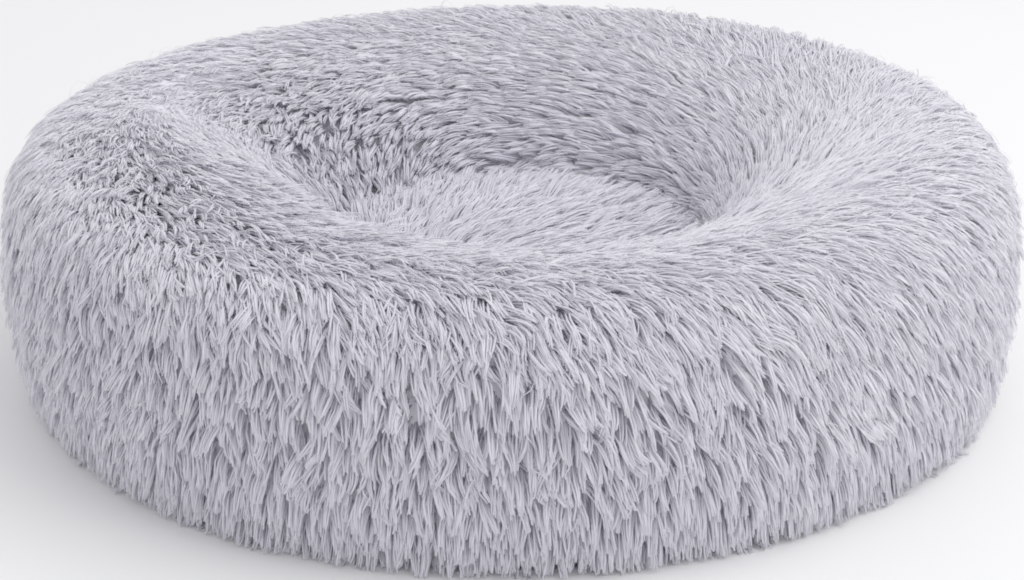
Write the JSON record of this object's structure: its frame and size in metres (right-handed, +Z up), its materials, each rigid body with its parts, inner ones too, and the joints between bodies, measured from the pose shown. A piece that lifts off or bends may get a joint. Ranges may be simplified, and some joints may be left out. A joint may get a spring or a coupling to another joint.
{
  "type": "pet cushion bed",
  "caption": "Round pet bed with a plump padded ring around a sunken cushion floor, covered in long-pile faux fur on a woven base.",
  "frame": {"origin": "middle of the underside, on the ground", "axes": "+Z up along the axis of the ring, -Y towards the front, +X to the right seen from the front"},
  "size_m": [0.62, 0.62, 0.16],
  "materials": {
    "fur": "long-pile faux fur",
    "filling": "loose polyester fibre",
    "base_weave": "plain weave with a non-slip face",
    "thread": "sewn seam, matt thread"
  },
  "bodies": {
    "root": {"base_fabric": "base_weave", "base_seam": "thread", "ring_filling": "filling", "floor_wadding": "filling", "floor_fur": "fur", "outer_fur_front": "fur", "outer_fur_back": "fur", "inner_fur_front": "fur", "inner_fur_back": "fur", "outer_seam_left": "thread", "outer_seam_right": "thread", "inner_seam_left": "thread", "inner_seam_right": "thread", "crest_seam": "thread", "floor_seam": "thread"}
  },
  "joints": []
}
